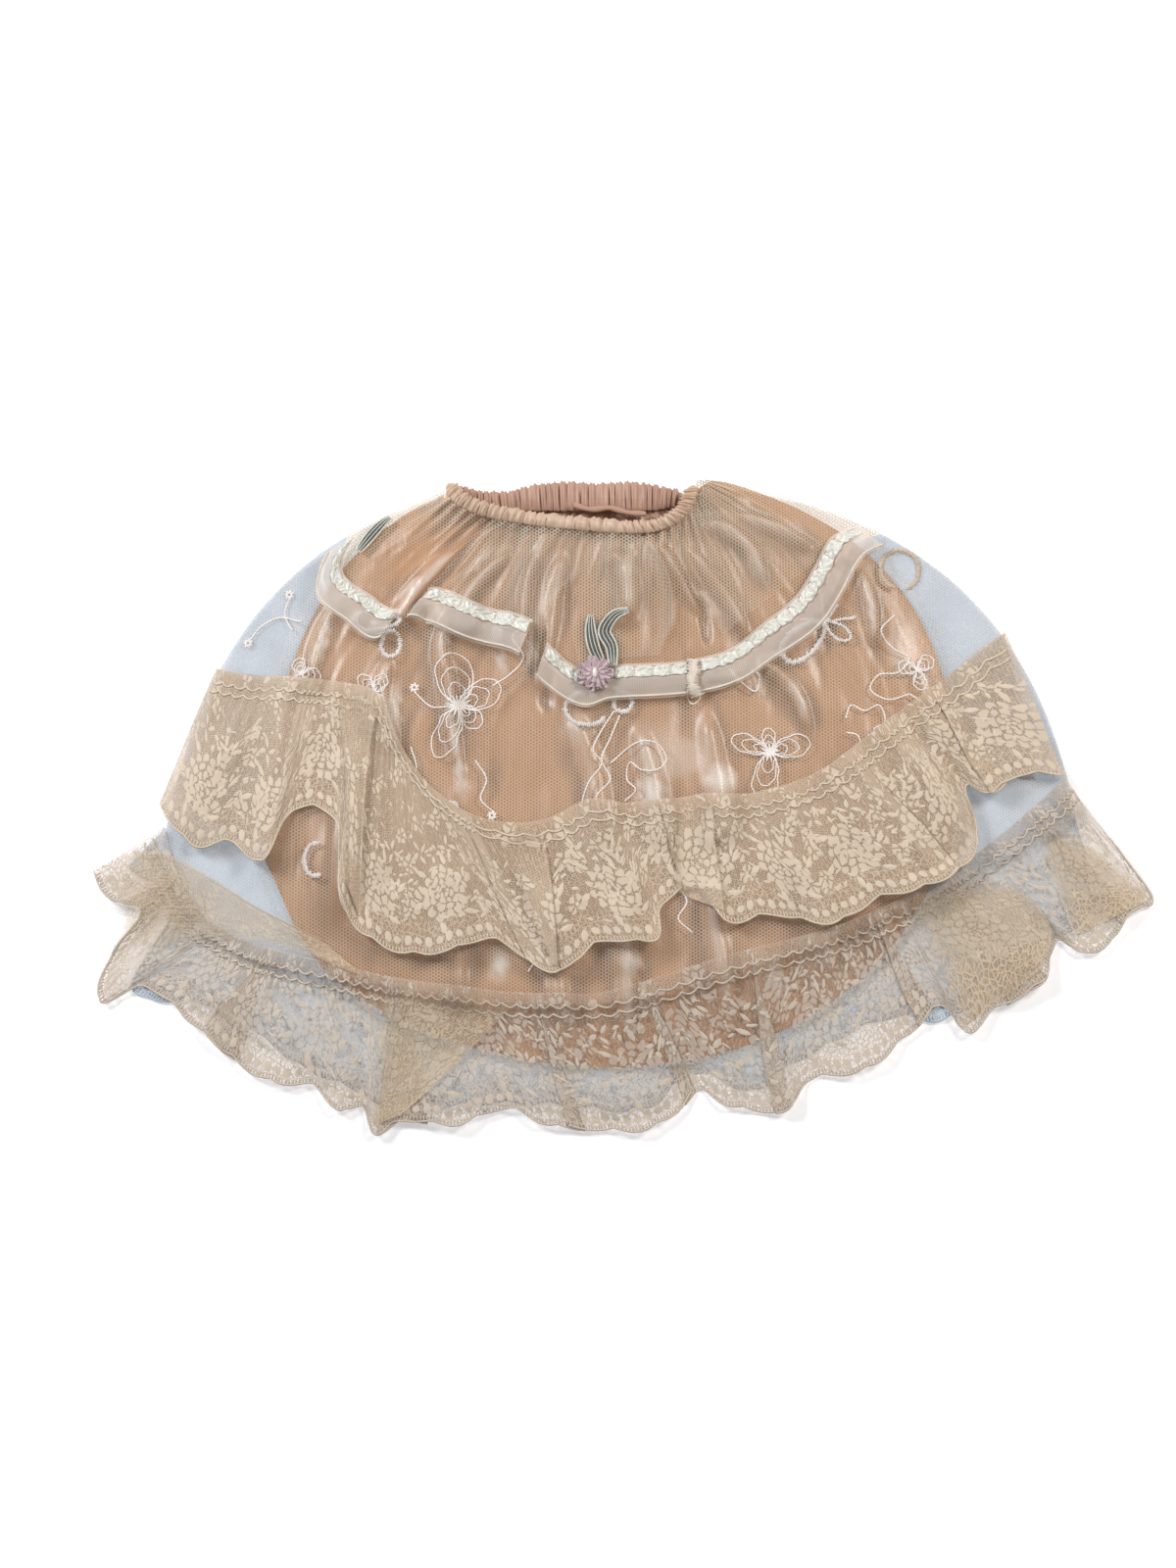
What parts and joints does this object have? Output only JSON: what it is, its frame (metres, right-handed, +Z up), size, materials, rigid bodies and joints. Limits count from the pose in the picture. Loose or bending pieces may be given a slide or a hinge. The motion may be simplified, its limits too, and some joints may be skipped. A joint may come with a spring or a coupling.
{
  "type": "tulle skirt",
  "caption": "Gathered satin skirt under embroidered net with ribbon trim, leaf and flower applique and scalloped lace tiers, laid flat.",
  "frame": {"origin": "on the floor, under the middle of the laid skirt's bounding box", "axes": "+X to the wearer's left (the picture's right), +Y from hem to waist, +Z up through the front of the skirt, which lies on its back"},
  "size_m": [0.754, 0.473, 0.0321],
  "materials": {
    "satin": "shiny satin, soft folds",
    "net": "sheer net",
    "lace": "raschel lace with scalloped edge",
    "organza": "crisp sheer organza",
    "ribbon": "shiny ribbon",
    "leaf": "satin stitch",
    "petal": "satin stitch",
    "pearl": "pearl lustre"
  },
  "bodies": {
    "root": {"back_trim": "organza", "back_upper_lace": "lace", "back_lower_lace": "lace", "back_skirt_net": "net", "back_yoke_net": "net", "back_satin": "satin", "back_casing": "satin", "front_satin": "satin", "front_yoke_net": "net", "front_skirt_net": "net", "trim_side": "organza", "ribbon_side": "ribbon", "trim_left": "organza", "ribbon_left": "ribbon", "trim_centre": "organza", "ribbon_centre": "ribbon", "trim_right": "organza", "ribbon_right": "ribbon", "front_casing": "satin", "front_lower_lace": "lace", "front_upper_lace": "lace", "leaf_straight": "leaf", "leaf_curved": "leaf", "leaf_side": "leaf", "flower": "petal", "pearl": "pearl"}
  },
  "joints": []
}
